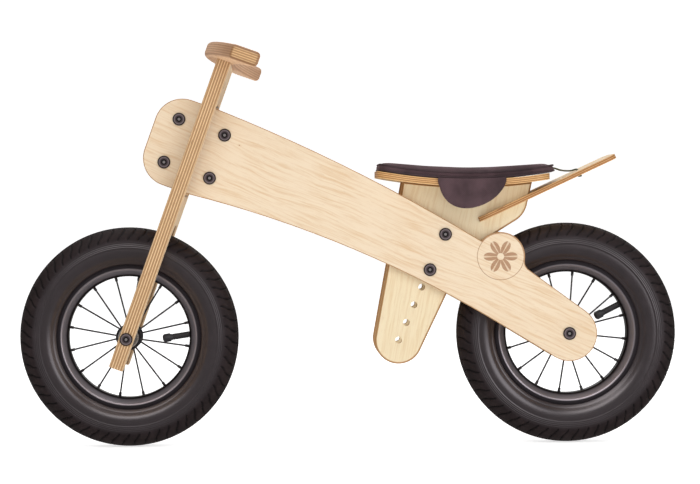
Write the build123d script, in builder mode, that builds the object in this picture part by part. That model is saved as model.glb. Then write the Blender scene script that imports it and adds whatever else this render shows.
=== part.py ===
from build123d import *
import math
import os

os.makedirs("parts", exist_ok=True)

# A child's balance bike in birch plywood, sizes in mm.
# +X points to the rear wheel, +Z up, and the rider's left side is -Y.
# The origin is on the ground, halfway between the two axles.

# ---- Whole bike ----
wheelbase = 622.0
tyre_diameter = 312.0
head_lean = 20.0  # degrees that the steering axis leans back; it passes through the front axle

# ---- Clearances ----
bolt_gap = 0.2  # round a bolt or sleeve nut in its hole
running_gap = 0.05  # round a shaft in its bush or bearing
face_gap = 0.2  # between faces that turn past each other
slot_gap = 0.1  # round the mudguard in its slots
soft_gap = 0.4  # between padding and wood
seat_fit = 0.05  # round a piece pressed or screwed into another

# ---- Frame panels ----
panel_thickness = 12.0
panel_spacing = 70.0  # clear width between the two panels
panel_edge = 1.2
head_height = 126.5  # of the panels' head, along the steering axis
nose_reach = 66.0  # of the head ahead of the steering axis
nose_radius = 40.0
neck_reach = 13.0  # behind the steering axis, where the curved edges start
top_sag = 8.5
belly_sag = 16.5
belly_end = 106.0  # straight run of the lower edge before the rear end
lower_slope = 31.7
upper_slope = 36.5
rear_end_radius = 39.0
disc_radius = 34.5  # round bump over the rear wheel
disc_ahead = 95.8  # of the rear axle
disc_above = 109.3
shoulder_angle = 140.0  # where the top edge meets the bump
disc_fillet = 14.0

# ---- Head ----
head_bolt_across = 68.0
head_bolt_along = 64.0
head_block_behind = 52.0
head_block_inset = 4.0
head_block_taper = 9.0  # at its rear, inside the curved edges of the panels
head_gap = 4.0  # between the head and each bridge of the fork
bush_outer = 14.0
bush_length = 22.0
bush_flange = 26.0
bush_flange_thickness = 2.8
washer_outer = 24.0
steering_bolt = 10.0
steering_head = 17.0
steering_head_height = 6.4
steering_head_recess = 8.0
steering_nut_recess = 9.5

# ---- Fork ----
fork_thickness = 20.5
fork_width = 160.0
head_leg = 21.0  # width of each leg beside the head
wheel_slot = 108.0
wheel_slot_radius = 30.0
window_radius = 8.0
tyre_clearance = 14.0  # above the tyre
lower_bridge = 45.5
upper_bridge = 62.0
leg_below_axle = 44.5
leg_corner = 4.0
fork_edge = 2.0

# ---- Handlebar ----
handlebar_width = 356.0
handlebar_thickness = 21.0
handlebar_edge = 6.0
handlebar_corner = 5.5
grip_width = 42.0
grip_back = 30.0  # middle of the grips behind the steering axis
bar_front = 33.0  # front edge ahead of the axis at the middle
bar_rear = 14.0  # rear edge behind the axis at the middle
handlebar_bolt_spread = 90.0
barrel_nut = 10.0
barrel_nut_length = 18.0
barrel_nut_depth = 32.0  # below the top of the fork

# ---- Connector bolts and sleeve nuts ----
bolt_head = 18.0
bolt_head_height = 2.2
bolt_shank = 6.0
sleeve_nut = 9.0
sleeve_length = 34.0
hex_key = 5.0
hex_depth = 1.6
bolt_overlap = 12.0  # of a bolt in its sleeve nut

# ---- Wheels ----
tyre_width = 54.0
tread_thickness = 5.5
sidewall_thickness = 4.0
bead_width = 5.0
flange_radius = 102.0
bead_radius = 97.5
rim_bed_radius = 86.0
rim_half_width = 19.0
rim_bed_half = 9.0
rim_wall = 2.0
tube_half_width = 18.0
tube_wall = 1.5
spoke_count = 16
spoke_diameter = 2.4
spoke_bend = 2.6  # across the rounded bend by the hub
spoke_circle = 16.2  # radius of the holes in the hub flanges
spoke_offset = 2.0  # of the spoke holes from the middle of the rim
nipple_diameter = 4.0
nipple_length = 9.5
nipple_head = 5.4
nipple_head_height = 2.0
nipple_seat = 1.1  # of the heads outside the rim bed, as the spokes lean sideways
tape_thickness = 1.0
hub_barrel = 22.0
hub_flange = 36.5
hub_flange_thickness = 3.0
hub_flange_half = 22.0  # outer face of each flange from the middle of the wheel
cup_outer = 29.0
bearing_outer = 26.0
bearing_width = 8.0
axle_diameter = 10.0
axle_spacer = 15.0
valve_diameter = 8.6
valve_reach = 24.0  # of the stem inside the rim
cap_diameter = 11.6
cap_length = 15.0

# ---- Seat ----
seat_bolt_ahead = 195.4  # lower seat bolt, ahead of and above the rear axle
seat_bolt_above = 91.8
seat_line_lean = 24.2
hole_pitch = 27.2
holes_below_bolt = 4
board_thickness = 12.0
board_edge = 2.5
tongue_radius = 33.5
tongue_front_lean = 10.6
tongue_rear_lean = 25.6
board_front = 36.0  # corners of the boards, from the lower seat bolt
board_rear = 146.5
heel_back = 135.4
heel_up = 75.7
heel_radius = 36.0
waist_back = 53.0
waist_up = 25.3
waist_radius = 40.0
plate_thickness = 9.0
plate_radius = 700.0  # of the seat plate's hollow, at its underside
dip_back = 63.4
dip_up = 117.2
plate_ahead = 136.2  # ends of the seat plate from its lowest point
plate_behind = 106.9
plate_width = 130.0
plate_corner = 24.0
cleat_width = 14.0
cleat_depth = 14.0
cleat_ahead = 70.0
cleat_behind = 55.0
screw_diameter = 4.0
screw_head = 8.0
screw_length = 20.0
screw_head_height = 2.4
screw_inset = 15.0  # of each screw from the end of its cleat
spacer_tube = 16.0
mudguard_thickness = 6.5
mudguard_slope = 24.5
mudguard_width = 100.0
mudguard_length = 213.0
mudguard_back = 72.1  # front lower corner from the lower seat bolt
mudguard_up = 66.6
mudguard_corner = 18.0
strap_hole_back = 160.0  # of the strap's slot from the mudguard's front end
pad_thickness = 12.0
pad_crown = 3.6  # extra thickness at the middle
pad_ahead = 136.0
pad_behind = 116.0
pad_width = 134.0
pad_corner = 26.0
pad_edge = 4.5
flap_radius = 49.0
flap_drop = 42.0
flap_thickness = 4.0
flap_ahead = 4.0  # middle of the flap ahead of the lowest point
strap_width = 8.0
strap_thickness = 2.0
strap_knot = 8.0
strap_lift = 1.5  # of the strap's bend above the mudguard

# ---- Places worked out from the sizes above ----
front_x = -wheelbase / 2
rear_x = wheelbase / 2
axle_z = tyre_diameter / 2
panel_inner = panel_spacing / 2
panel_outer = panel_inner + panel_thickness
slot_top = tyre_diameter / 2 + tyre_clearance
window_bottom = slot_top + lower_bridge
head_bottom = window_bottom + head_gap
head_top = head_bottom + head_height
window_top = head_top + head_gap
fork_top = window_top + upper_bridge
fork_half = fork_width / 2
bolt_hole_radius = sleeve_nut / 2 + bolt_gap
seat_x = rear_x - seat_bolt_ahead
seat_z = axle_z + seat_bolt_above
board_inner = panel_inner - board_thickness
dip_x = seat_x + dip_back
dip_z = seat_z + dip_up
plate_top_radius = plate_radius - plate_thickness

lean = math.radians(head_lean)
up_axis = (math.sin(lean), 0, math.cos(lean))
back_axis = (math.cos(lean), 0, -math.sin(lean))


def steer(up, back):
    """The X and Z of a place up the steering axis from the front axle, and behind the axis."""
    x = front_x + up * math.sin(lean) + back * math.cos(lean)
    z = axle_z + up * math.cos(lean) - back * math.sin(lean)
    return (x, z)


def side_plane(y):
    """An upright plane at this Y, drawn in X and Z, and extruded towards -Y."""
    return Plane.XZ.offset(-y)


def across_steering(up):
    """A plane square to the steering axis: local x is across the bike, local y is forwards."""
    x, z = steer(up, 0)
    return Plane(origin=(x, 0, z), x_dir=(0, 1, 0), z_dir=up_axis)


def along_line(start, end, share, sag):
    """The point this share of the way from start to end, moved upwards square to that line."""
    run, rise = end[0] - start[0], end[1] - start[1]
    length = math.hypot(run, rise)
    x = start[0] + share * run - sag * rise / length
    z = start[1] + share * rise + sag * run / length
    return (x, z)


def curve_z(x, radius):
    """Height of the seat plate's hollow at this X, for an arc of this radius about its centre."""
    return dip_z + plate_radius - math.sqrt(radius**2 - (x - dip_x) ** 2)


def drill_across(points, radius, length=4 * fork_width):
    """Cut round holes along Y through the piece being built."""
    with Locations(*[Location((x, 0, z), (90, 0, 0)) for x, z in points]):
        Cylinder(radius, length, mode=Mode.SUBTRACT)


def save(piece, name):
    """Name a finished piece and write it."""
    piece.label = name
    export_step(piece, f"parts/{name}.step")


fork_plane = Plane(origin=(front_x, 0, axle_z), x_dir=(0, 1, 0), z_dir=back_axis)

# ---- Bolt places ----
head_middle = (head_bottom + head_top) / 2
head_bolts = [
    steer(head_middle + a * head_bolt_along / 2, b * head_bolt_across / 2)
    for a in (-1, 1)
    for b in (-1, 1)
]
seat_lean = math.radians(seat_line_lean)
seat_holes = [
    (seat_x + k * hole_pitch * math.sin(seat_lean), seat_z + k * hole_pitch * math.cos(seat_lean))
    for k in range(-holes_below_bolt, 3)
]
seat_bolts = [seat_holes[holes_below_bolt], seat_holes[-1]]

# ---- Frame panels ----
rear_axle = (rear_x, axle_z)
disc_centre = (rear_x - disc_ahead, axle_z + disc_above)
down = math.radians(lower_slope)
rise = math.radians(upper_slope)
turn = math.radians(shoulder_angle)
lower_tangent = (
    rear_x - rear_end_radius * math.sin(down),
    axle_z - rear_end_radius * math.cos(down),
)
upper_tangent = (
    rear_x + rear_end_radius * math.sin(rise),
    axle_z + rear_end_radius * math.cos(rise),
)
belly_stop = (
    lower_tangent[0] - belly_end * math.cos(down),
    lower_tangent[1] + belly_end * math.sin(down),
)
shoulder = (
    disc_centre[0] + disc_radius * math.cos(turn),
    disc_centre[1] + disc_radius * math.sin(turn),
)
# the upper edge of the rear arm runs in under the bump, as far as the bump's middle
arm_run = (upper_tangent[0] - disc_centre[0]) * math.cos(rise) + (
    disc_centre[1] - upper_tangent[1]
) * math.sin(rise)
arm_end = (
    upper_tangent[0] - arm_run * math.cos(rise),
    upper_tangent[1] + arm_run * math.sin(rise),
)
bump_side = disc_radius**2 - math.dist(arm_end, disc_centre) ** 2
bump_corner = (
    arm_end[0] + math.sqrt(bump_side) * math.cos(rise),
    arm_end[1] - math.sqrt(bump_side) * math.sin(rise),
)

with BuildSketch() as panel_outline:
    with BuildLine() as panel_edges:
        neck_top = steer(head_top, neck_reach)
        neck_bottom = steer(head_bottom, neck_reach)
        nose_top = steer(head_top, -nose_reach)
        nose_bottom = steer(head_bottom, -nose_reach)
        Polyline(neck_top, nose_top, nose_bottom, neck_bottom)
        ThreePointArc(
            neck_bottom, along_line(neck_bottom, belly_stop, 0.5, belly_sag), belly_stop
        )
        Polyline(belly_stop, lower_tangent, upper_tangent, arm_end, shoulder)
        ThreePointArc(shoulder, along_line(neck_top, shoulder, 0.5, top_sag), neck_top)
    make_face()
    corners = panel_outline.vertices()
    fillet([corners.sort_by_distance((*p, 0))[0] for p in (nose_top, nose_bottom)], nose_radius)
    with Locations(rear_axle):
        Circle(rear_end_radius)
    with Locations(disc_centre):
        Circle(disc_radius)
    fillet(panel_outline.vertices().sort_by_distance((*bump_corner, 0))[0], disc_fillet)

for side, face_y in (("left", -panel_inner), ("right", panel_outer)):
    with BuildPart() as panel:
        with BuildSketch(side_plane(face_y)):
            add(panel_outline.sketch_local)
        extrude(amount=panel_thickness)
        outline_edges = panel.faces().filter_by(Axis.Y).edges()
        chamfer(outline_edges, panel_edge)
        drill_across(head_bolts + seat_bolts, bolt_hole_radius)
        drill_across([rear_axle], axle_diameter / 2 + bolt_gap)
    save(panel.part, f"frame_panel_{side}")

# ---- Head block and bushes ----
with BuildPart() as head_block:
    with BuildSketch(side_plane(panel_inner)):
        with BuildLine():
            Polyline(
                steer(head_bottom + head_block_taper, head_block_behind),
                steer(head_bottom, neck_reach),
                steer(head_bottom, head_block_inset - nose_reach),
                steer(head_top, head_block_inset - nose_reach),
                steer(head_top, neck_reach),
                steer(head_top - head_block_taper, head_block_behind),
                close=True,
            )
        face = make_face()
        block_corners = [
            steer(head_bottom, head_block_inset - nose_reach),
            steer(head_top, head_block_inset - nose_reach),
        ]
        fillet(
            [face.vertices().sort_by_distance((*p, 0))[0] for p in block_corners],
            nose_radius - head_block_inset / 2,
        )
    extrude(amount=panel_spacing)
    drill_across(head_bolts, bolt_hole_radius)
    for end, turned in ((head_bottom, 0), (head_top, 180)):
        with Locations(across_steering(end) * Location((0, 0, 0), (turned, 0, 0))):
            Cylinder(
                bush_outer / 2 + seat_fit,
                bush_length,
                align=(Align.CENTER, Align.CENTER, Align.MIN),
                mode=Mode.SUBTRACT,
            )
    with Locations(across_steering(head_middle)):
        Cylinder(steering_bolt / 2 + 1.0, head_height, mode=Mode.SUBTRACT)
save(head_block.part, "head_block")

with BuildPart() as head_bushes:
    for end, out in ((head_bottom, -1), (head_top, 1)):
        with BuildSketch(across_steering(end)):
            Circle(bush_outer / 2)
            Circle(steering_bolt / 2 + running_gap, mode=Mode.SUBTRACT)
        extrude(amount=-out * (bush_length - seat_fit))
        with BuildSketch(across_steering(end)):
            Circle(bush_flange / 2)
            Circle(steering_bolt / 2 + running_gap, mode=Mode.SUBTRACT)
        extrude(amount=out * bush_flange_thickness)
save(head_bushes.part, "head_bushes")


def bolt_set(name, points, half_width, mate_name):
    """Connector bolts from the left and sleeve nuts from the right, at these X and Z."""
    nut_end = half_width - sleeve_length
    with BuildPart() as bolts:
        with BuildSketch(side_plane(-half_width)):
            with Locations(*points):
                Circle(bolt_head / 2)
        extrude(amount=bolt_head_height)
        chamfer(bolts.faces().sort_by(Axis.Y)[: len(points)].edges(), bolt_head_height / 3)
        with BuildSketch(side_plane(nut_end + bolt_overlap)):
            with Locations(*points):
                Circle(bolt_shank / 2)
        extrude(amount=nut_end + bolt_overlap + half_width)
        with BuildSketch(side_plane(-half_width - bolt_head_height + hex_depth)):
            with Locations(*points):
                RegularPolygon(hex_key / 2, 6, major_radius=False)
        extrude(amount=hex_depth, mode=Mode.SUBTRACT)
    save(bolts.part, name)
    with BuildPart() as nuts:
        with BuildSketch(side_plane(half_width + bolt_head_height)):
            with Locations(*points):
                Circle(bolt_head / 2)
        extrude(amount=bolt_head_height)
        chamfer(nuts.faces().sort_by(Axis.Y)[-len(points) :].edges(), bolt_head_height / 3)
        with BuildSketch(side_plane(half_width)):
            with Locations(*points):
                Circle(sleeve_nut / 2)
        extrude(amount=sleeve_length)
        with BuildSketch(side_plane(half_width + bolt_head_height - hex_depth)):
            with Locations(*points):
                Circle(bolt_shank / 2 + seat_fit)
        extrude(amount=sleeve_length + bolt_head_height, mode=Mode.SUBTRACT)
        with BuildSketch(side_plane(half_width + bolt_head_height)):
            with Locations(*points):
                RegularPolygon(hex_key / 2, 6, major_radius=False)
        extrude(amount=hex_depth, mode=Mode.SUBTRACT)
    save(nuts.part, mate_name)


bolt_set("head_bolts", head_bolts, panel_outer, "head_sleeve_nuts")
bolt_set("seat_bolts", seat_bolts, panel_outer, "seat_sleeve_nuts")

# ---- Fork board ----
handlebar_bolts = [(-handlebar_bolt_spread / 2, 0), (handlebar_bolt_spread / 2, 0)]
with BuildPart() as fork:
    with BuildSketch(fork_plane.offset(-fork_thickness / 2)):
        with Locations((0, (fork_top - leg_below_axle) / 2)):
            Rectangle(fork_width, fork_top + leg_below_axle)
        with Locations((0, (slot_top - leg_below_axle) / 2)):
            Rectangle(wheel_slot, slot_top + leg_below_axle, mode=Mode.SUBTRACT)
        with Locations((0, (window_bottom + window_top) / 2)):
            RectangleRounded(
                fork_width - 2 * head_leg,
                window_top - window_bottom,
                window_radius,
                mode=Mode.SUBTRACT,
            )
    extrude(amount=fork_thickness)
    across_grain = fork.edges().filter_by(lambda e: abs(e.tangent_at(0).dot(Vector(*back_axis))) > 0.99)
    slot_corners = [
        e for e in across_grain if abs(fork_plane.to_local_coords(e.center()).Y - slot_top) < 1
    ]
    fillet(slot_corners, wheel_slot_radius)
    leg_tips = [
        e
        for e in fork.edges().filter_by(lambda e: abs(e.tangent_at(0).dot(Vector(*back_axis))) > 0.99)
        if abs(fork_plane.to_local_coords(e.center()).Y + leg_below_axle) < 1
    ]
    fillet(leg_tips, leg_corner)
    broad_faces = fork.faces().filter_by(lambda f: abs(f.normal_at().dot(Vector(*back_axis))) > 0.99)
    fillet(broad_faces.edges(), fork_edge)
    drill_across([(front_x, axle_z)], axle_diameter / 2 + bolt_gap)
    with Locations(across_steering(fork_top / 2)):
        Cylinder(steering_bolt / 2 + bolt_gap, fork_top, mode=Mode.SUBTRACT)
    with BuildSketch(across_steering(fork_top)):
        Circle(steering_head / 2 + bolt_gap)
    extrude(amount=-steering_head_recess, mode=Mode.SUBTRACT)
    with BuildSketch(across_steering(slot_top)):
        Circle(steering_head / 2 + bolt_gap)
    extrude(amount=steering_nut_recess, mode=Mode.SUBTRACT)
    with BuildSketch(across_steering(fork_top)):
        with Locations(*handlebar_bolts):
            Circle(bolt_shank / 2 + bolt_gap)
    extrude(amount=-barrel_nut_depth - barrel_nut, mode=Mode.SUBTRACT)
    with BuildSketch(fork_plane.offset(-barrel_nut_length / 2)):
        with Locations(*[(x, fork_top - barrel_nut_depth) for x, _ in handlebar_bolts]):
            Circle(barrel_nut / 2 + seat_fit)
    extrude(amount=fork_thickness, mode=Mode.SUBTRACT)
save(fork.part, "fork_board")

# ---- Steering bolt, its nut and its washers ----
head_seat = fork_top - steering_head_recess
nut_seat = slot_top + steering_nut_recess
with BuildPart() as steering:
    with BuildSketch(across_steering(head_seat)):
        RegularPolygon(steering_head / 2, 6)
    extrude(amount=steering_head_height)
    with BuildSketch(across_steering(slot_top + 1)):
        Circle(steering_bolt / 2)
    extrude(amount=head_seat - slot_top - 1)
save(steering.part, "steering_bolt")

with BuildPart() as steering_nut:
    with BuildSketch(across_steering(nut_seat)):
        RegularPolygon(steering_head / 2, 6)
        Circle(steering_bolt / 2 + seat_fit, mode=Mode.SUBTRACT)
    extrude(amount=-(steering_nut_recess - 1))
save(steering_nut.part, "steering_nut")

washer_thickness = head_gap - bush_flange_thickness - face_gap
with BuildPart() as washers:
    for level in (window_bottom, window_top - washer_thickness):
        with BuildSketch(across_steering(level)):
            Circle(washer_outer / 2)
            Circle(steering_bolt / 2 + seat_fit, mode=Mode.SUBTRACT)
        extrude(amount=washer_thickness)
save(washers.part, "steering_washers")

# ---- Handlebar, its bolts and barrel nuts ----
bar_half = handlebar_width / 2
grip_front = grip_width / 2 - grip_back
grip_rear = -grip_width / 2 - grip_back
head_recess = bolt_head_height + bolt_gap
with BuildPart() as handlebar:
    with BuildSketch(across_steering(fork_top)) as bar_plan:
        with BuildLine():
            ThreePointArc((-bar_half, grip_front), (0, bar_front), (bar_half, grip_front))
            Line((bar_half, grip_front), (bar_half, grip_rear))
            ThreePointArc((bar_half, grip_rear), (0, -bar_rear), (-bar_half, grip_rear))
            Line((-bar_half, grip_rear), (-bar_half, grip_front))
        make_face()
        fillet(bar_plan.vertices(), handlebar_corner)
    extrude(amount=handlebar_thickness)
    flat_faces = handlebar.faces().filter_by(lambda f: abs(f.normal_at().dot(Vector(*up_axis))) > 0.99)
    fillet(flat_faces.edges(), handlebar_edge)
    with BuildSketch(across_steering(fork_top + handlebar_thickness)):
        with Locations(*handlebar_bolts):
            Circle(bolt_head / 2 + bolt_gap)
    extrude(amount=-head_recess, mode=Mode.SUBTRACT)
    with BuildSketch(across_steering(fork_top)):
        with Locations(*handlebar_bolts):
            Circle(bolt_shank / 2 + bolt_gap)
    extrude(amount=handlebar_thickness, mode=Mode.SUBTRACT)
save(handlebar.part, "handlebar")

head_under = fork_top + handlebar_thickness - head_recess
with BuildPart() as bar_bolts:
    with BuildSketch(across_steering(head_under)):
        with Locations(*handlebar_bolts):
            Circle(bolt_head / 2)
    extrude(amount=bolt_head_height)
    with BuildSketch(across_steering(head_under)):
        with Locations(*handlebar_bolts):
            Circle(bolt_shank / 2)
    extrude(amount=-(head_under - fork_top + barrel_nut_depth + barrel_nut / 2))
    with BuildSketch(across_steering(head_under + bolt_head_height)):
        with Locations(*handlebar_bolts):
            RegularPolygon(hex_key / 2, 6, major_radius=False)
    extrude(amount=-hex_depth, mode=Mode.SUBTRACT)
save(bar_bolts.part, "handlebar_bolts")

with BuildPart() as barrel_nuts:
    with BuildSketch(fork_plane.offset(-barrel_nut_length / 2)):
        with Locations(*[(x, fork_top - barrel_nut_depth) for x, _ in handlebar_bolts]):
            Circle(barrel_nut / 2)
    extrude(amount=barrel_nut_length)
    with BuildSketch(across_steering(fork_top - barrel_nut_depth - barrel_nut)):
        with Locations(*handlebar_bolts):
            Circle(bolt_shank / 2 + seat_fit)
    extrude(amount=2 * barrel_nut, mode=Mode.SUBTRACT)
save(barrel_nuts.part, "handlebar_barrel_nuts")


def axle_set(prefix, x, outer, inner):
    """A tapped axle across two dropout faces, its two bolts, and a spacer each side of the hub."""
    place = (x, axle_z)
    half_length = outer - 0.5
    with BuildPart() as axle:
        with BuildSketch(side_plane(half_length)):
            with Locations(place):
                Circle(axle_diameter / 2)
                Circle(bolt_shank / 2 + seat_fit, mode=Mode.SUBTRACT)
        extrude(amount=2 * half_length)
    save(axle.part, f"{prefix}_axle")
    with BuildPart() as bolts:
        for way in (-1, 1):
            with BuildSketch(side_plane(way * outer)):
                with Locations(place):
                    Circle(bolt_head / 2)
            extrude(amount=-way * bolt_head_height)
        end_faces = bolts.faces().filter_by(Axis.Y).sort_by(Axis.Y)
        chamfer([end_faces[0].edge(), end_faces[-1].edge()], bolt_head_height / 3)
        for way in (-1, 1):
            with BuildSketch(side_plane(way * outer)):
                with Locations(place):
                    Circle(bolt_shank / 2)
            extrude(amount=way * bolt_overlap)
            with BuildSketch(side_plane(way * (outer + bolt_head_height))):
                with Locations(place):
                    RegularPolygon(hex_key / 2, 6, major_radius=False)
            extrude(amount=way * hex_depth, mode=Mode.SUBTRACT)
    save(bolts.part, f"{prefix}_axle_bolts")
    with BuildPart() as spacers:
        for way in (-1, 1):
            with BuildSketch(side_plane(way * inner)):
                with Locations(place):
                    Circle(axle_spacer / 2)
                    Circle(axle_diameter / 2 + seat_fit, mode=Mode.SUBTRACT)
            extrude(amount=way * (inner - bearing_face - face_gap))
    save(spacers.part, f"{prefix}_axle_spacers")


cup_base = 1.0
bearing_face = hub_flange_half + cup_base + seat_fit + bearing_width
axle_set("front", front_x, fork_half, wheel_slot / 2)
axle_set("rear", rear_x, panel_outer, panel_inner)


def wheel(prefix, x, spoke_phase, valve_angle, valve_tilt):
    """One wheel about an axle at this X: tyre, tube, rim, tape, spokes, hub, bearings and valve."""
    centre = Plane(origin=(x, 0, axle_z), x_dir=(0, 1, 0), z_dir=(1, 0, 0))
    spin = Axis((x, 0, axle_z), (0, 1, 0))
    radius = tyre_diameter / 2
    half = tyre_width / 2
    bead_out = rim_half_width - rim_wall - seat_fit
    bead_in = bead_out - bead_width
    widest = (flange_radius + radius) / 2 - 3

    with BuildPart() as tyre:
        with BuildSketch(centre):
            with BuildLine():
                Line((bead_in, bead_radius), (bead_out, bead_radius))
                Line((bead_out, bead_radius), (bead_out, flange_radius + 1))
                Spline(
                    (bead_out, flange_radius + 1),
                    (half, widest),
                    (0.9 * half, radius - 14),
                    (0, radius),
                    tangents=((1, 0.6), (-1, 0)),
                )
                Line((0, radius), (0, radius - tread_thickness))
                Spline(
                    (0, radius - tread_thickness),
                    (0.9 * half - sidewall_thickness, radius - 17),
                    (half - sidewall_thickness, widest),
                    (bead_in, flange_radius + 2),
                    tangents=((1, 0), (-1, -0.8)),
                )
                Line((bead_in, flange_radius + 2), (bead_in, bead_radius))
            make_face()
            mirror(about=Plane.YZ)
        revolve(axis=spin)
    save(tyre.part, f"{prefix}_tyre")

    tube_top = radius - tread_thickness - soft_gap
    tube_bottom = bead_radius + soft_gap
    with BuildPart() as inner_tube:
        with BuildSketch(centre):
            with Locations((0, (tube_top + tube_bottom) / 2)):
                Ellipse(tube_half_width, (tube_top - tube_bottom) / 2)
                Ellipse(
                    tube_half_width - tube_wall,
                    (tube_top - tube_bottom) / 2 - tube_wall,
                    mode=Mode.SUBTRACT,
                )
        revolve(axis=spin)
    save(inner_tube.part, f"{prefix}_inner_tube")

    # spokes, and the nipples that hold them in the rim
    step = 360 / spoke_count
    spoke_root = hub_flange_half + spoke_diameter
    bed_outer = rim_bed_radius + rim_wall
    spoke_lines = []
    for k in range(spoke_count):
        angle = math.radians(spoke_phase + k * step)
        way = -1 if k % 2 else 1
        outwards = Vector(math.cos(angle), 0, math.sin(angle))
        start = Vector(x, way * spoke_root, axle_z) + outwards * spoke_circle
        end = Vector(x, way * spoke_offset, axle_z) + outwards * bed_outer
        spoke_lines.append((Plane(origin=start, z_dir=end - start), (end - start).length, way))

    def lengthwise(radius, start, end, mode=Mode.ADD):
        """A round bar on every spoke's line, from start to end before the outside of the rim bed."""
        for line, length, _ in spoke_lines:
            with Locations(line.offset(length - start)):
                Cylinder(
                    radius,
                    start - end,
                    align=(Align.CENTER, Align.CENTER, Align.MIN),
                    mode=mode,
                )

    full_length = spoke_lines[0][1]
    elbow_length = spoke_diameter + hub_flange_thickness + 0.5
    head_length = 1.2
    with BuildPart() as spokes:
        lengthwise(spoke_diameter / 2, full_length, 0)
        for line, _, way in spoke_lines:
            with Locations(line):
                Sphere(spoke_bend / 2)
            elbow = Plane(origin=line.origin, z_dir=(0, -way, 0))
            with Locations(elbow):
                Cylinder(
                    spoke_diameter / 2,
                    elbow_length,
                    align=(Align.CENTER, Align.CENTER, Align.MIN),
                )
            with Locations(elbow.offset(elbow_length)):
                Cylinder(
                    0.9 * spoke_diameter,
                    head_length,
                    align=(Align.CENTER, Align.CENTER, Align.MIN),
                )
    save(spokes.part, f"{prefix}_spokes")

    nipple_top = nipple_seat + nipple_head_height
    with BuildPart() as nipples:
        lengthwise(nipple_diameter / 2, nipple_length - nipple_head_height, -nipple_seat)
        lengthwise(nipple_head / 2, -nipple_seat, -nipple_top)
        lengthwise(spoke_diameter / 2 + seat_fit, nipple_length, -nipple_top, Mode.SUBTRACT)
    save(nipples.part, f"{prefix}_nipples")

    # rim, with a dropped bed between two slanted walls
    slant_rise = rim_half_width - rim_bed_half
    lift = rim_wall * (math.sqrt(2) - 1)
    with BuildPart() as rim:
        with BuildSketch(centre) as rim_profile:
            with BuildLine():
                Polyline(
                    (0, rim_bed_radius),
                    (rim_bed_half, rim_bed_radius),
                    (rim_half_width, rim_bed_radius + slant_rise),
                    (rim_half_width, flange_radius),
                    (rim_half_width - rim_wall, flange_radius),
                    (rim_half_width - rim_wall, rim_bed_radius + slant_rise + lift),
                    (rim_bed_half - lift, rim_bed_radius + rim_wall),
                    (0, rim_bed_radius + rim_wall),
                    close=True,
                )
            make_face()
            bends = [
                (rim_bed_half, rim_bed_radius),
                (rim_half_width, rim_bed_radius + slant_rise),
            ]
            fillet(
                [rim_profile.vertices().sort_by_distance((*p, 0))[0] for p in bends],
                2 * rim_wall,
            )
            mirror(about=Plane.YZ)
        revolve(axis=spin)
        lengthwise(nipple_diameter / 2 + bolt_gap, 6, -2, Mode.SUBTRACT)
        valve_turn = math.radians(valve_angle)
        valve_way = math.radians(valve_angle + valve_tilt)
        valve_plane = Plane(
            origin=(
                x + rim_bed_radius * math.cos(valve_turn),
                0,
                axle_z + rim_bed_radius * math.sin(valve_turn),
            ),
            z_dir=(math.cos(valve_way), 0, math.sin(valve_way)),
        )
        with Locations(valve_plane):
            Cylinder(valve_diameter / 2 + bolt_gap, 4 * rim_wall, mode=Mode.SUBTRACT)
    save(rim.part, f"{prefix}_rim")

    tape_lift = nipple_top + nipple_head / 4
    tape_inner = bed_outer + tape_lift
    with BuildPart() as tape:
        with BuildSketch(centre):
            with Locations((0, tape_inner + tape_thickness / 2)):
                Rectangle(2 * (rim_bed_half - lift + tape_lift - 2 * seat_fit), tape_thickness)
        revolve(axis=spin)
        with Locations(valve_plane.offset(tape_inner - rim_bed_radius)):
            Cylinder(valve_diameter / 2 + bolt_gap, 6 * tape_thickness, mode=Mode.SUBTRACT)
    save(tape.part, f"{prefix}_rim_tape")

    with BuildPart() as hub_shell:
        with BuildSketch(centre):
            with BuildLine():
                Polyline(
                    (0, axle_diameter / 2 + 1.5),
                    (hub_flange_half, axle_diameter / 2 + 1.5),
                    (hub_flange_half, hub_flange / 2),
                    (hub_flange_half - hub_flange_thickness, hub_flange / 2),
                    (hub_flange_half - hub_flange_thickness, hub_barrel / 2),
                    (0, hub_barrel / 2),
                    close=True,
                )
            make_face()
            mirror(about=Plane.YZ)
        revolve(axis=spin)
        for line, _, way in spoke_lines:
            with Locations(Plane(origin=line.origin, z_dir=(0, -way, 0))):
                Cylinder(spoke_diameter / 2 + bolt_gap, 4 * hub_flange_thickness, mode=Mode.SUBTRACT)
    save(hub_shell.part, f"{prefix}_hub_shell")

    cup_end = bearing_face + 0.5
    with BuildPart() as cups:
        for way in (-1, 1):
            with BuildSketch(side_plane(way * hub_flange_half)):
                with Locations((x, axle_z)):
                    Circle(cup_outer / 2)
                    Circle(bearing_outer / 2 + seat_fit, mode=Mode.SUBTRACT)
            extrude(amount=-way * (cup_end - hub_flange_half))
            with BuildSketch(side_plane(way * hub_flange_half)):
                with Locations((x, axle_z)):
                    Circle(cup_outer / 2)
                    Circle(axle_diameter / 2 + 1.5, mode=Mode.SUBTRACT)
            extrude(amount=-way * cup_base)
    save(cups.part, f"{prefix}_hub_cups")

    with BuildPart() as bearings:
        for way in (-1, 1):
            with BuildSketch(side_plane(way * bearing_face)):
                with Locations((x, axle_z)):
                    Circle(bearing_outer / 2)
                    Circle(axle_diameter / 2 + running_gap, mode=Mode.SUBTRACT)
            extrude(amount=way * bearing_width)
    save(bearings.part, f"{prefix}_bearings")

    stem_start = tube_bottom - 2 * soft_gap - rim_bed_radius
    stem_end = -valve_reach
    with BuildPart() as valve:
        with Locations(valve_plane.offset(stem_end)):
            Cylinder(
                valve_diameter / 2,
                stem_start - stem_end,
                align=(Align.CENTER, Align.CENTER, Align.MIN),
            )
    save(valve.part, f"{prefix}_valve_stem")

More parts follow.
